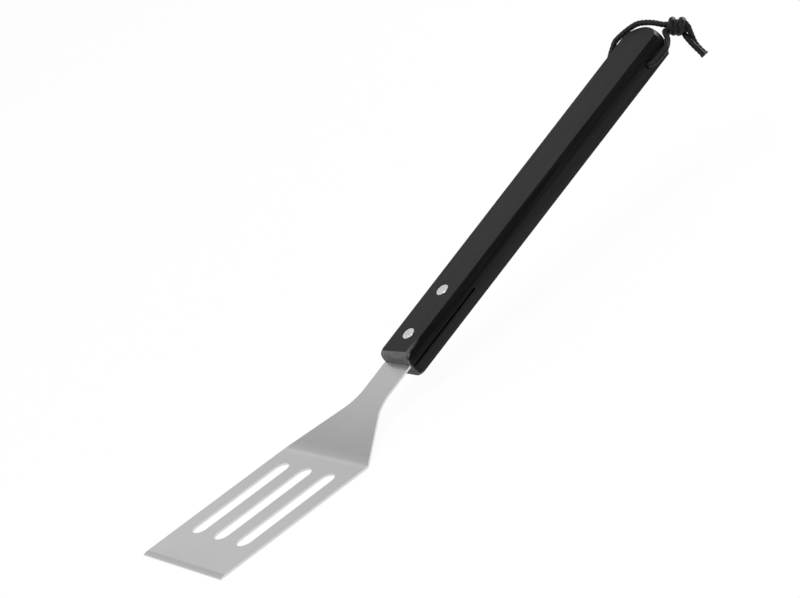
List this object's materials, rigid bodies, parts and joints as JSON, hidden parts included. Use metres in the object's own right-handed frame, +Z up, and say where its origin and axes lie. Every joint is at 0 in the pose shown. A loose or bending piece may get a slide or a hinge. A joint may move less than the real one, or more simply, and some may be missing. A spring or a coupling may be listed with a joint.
{
  "type": "slotted turner spatula",
  "caption": "Slotted stainless turner with a bent neck riveted into a black stained wooden handle, with a knotted hanging cord through its end.",
  "frame": {"origin": "under the middle of the object's length and width, without its cord, on the plane of the blade's underside", "axes": "+X from the blade's front edge to the handle's rear end, +Y across the blade, +Z up from the flat blade"},
  "size_m": [0.417, 0.076, 0.0985],
  "materials": {
    "stainless_sheet": "satin, fine brushed",
    "stained_wood": "black stained, dull with faint grain",
    "rivet_metal": "ground flush",
    "waxed_cord": "black braided synthetic fibre, lightly waxed"
  },
  "bodies": {
    "turner": {"blade_sheet": "stainless_sheet", "handle": "stained_wood", "front_rivet_socket": "rivet_metal", "front_rivet_pin": "rivet_metal", "rear_rivet_socket": "rivet_metal", "rear_rivet_pin": "rivet_metal"},
    "hanging_cord": {"cord_loop": "waxed_cord", "cord_knot": "waxed_cord", "inner_tail": "waxed_cord", "outer_tail": "waxed_cord"}
  },
  "joints": [
    {"name": "loop_swing", "type": "hinge", "parent": "turner", "child": "hanging_cord", "pos_m": [0.17718, 0, 0.08216], "axis": [0, 1, 0], "range_deg": [-120, 135]}
  ]
}
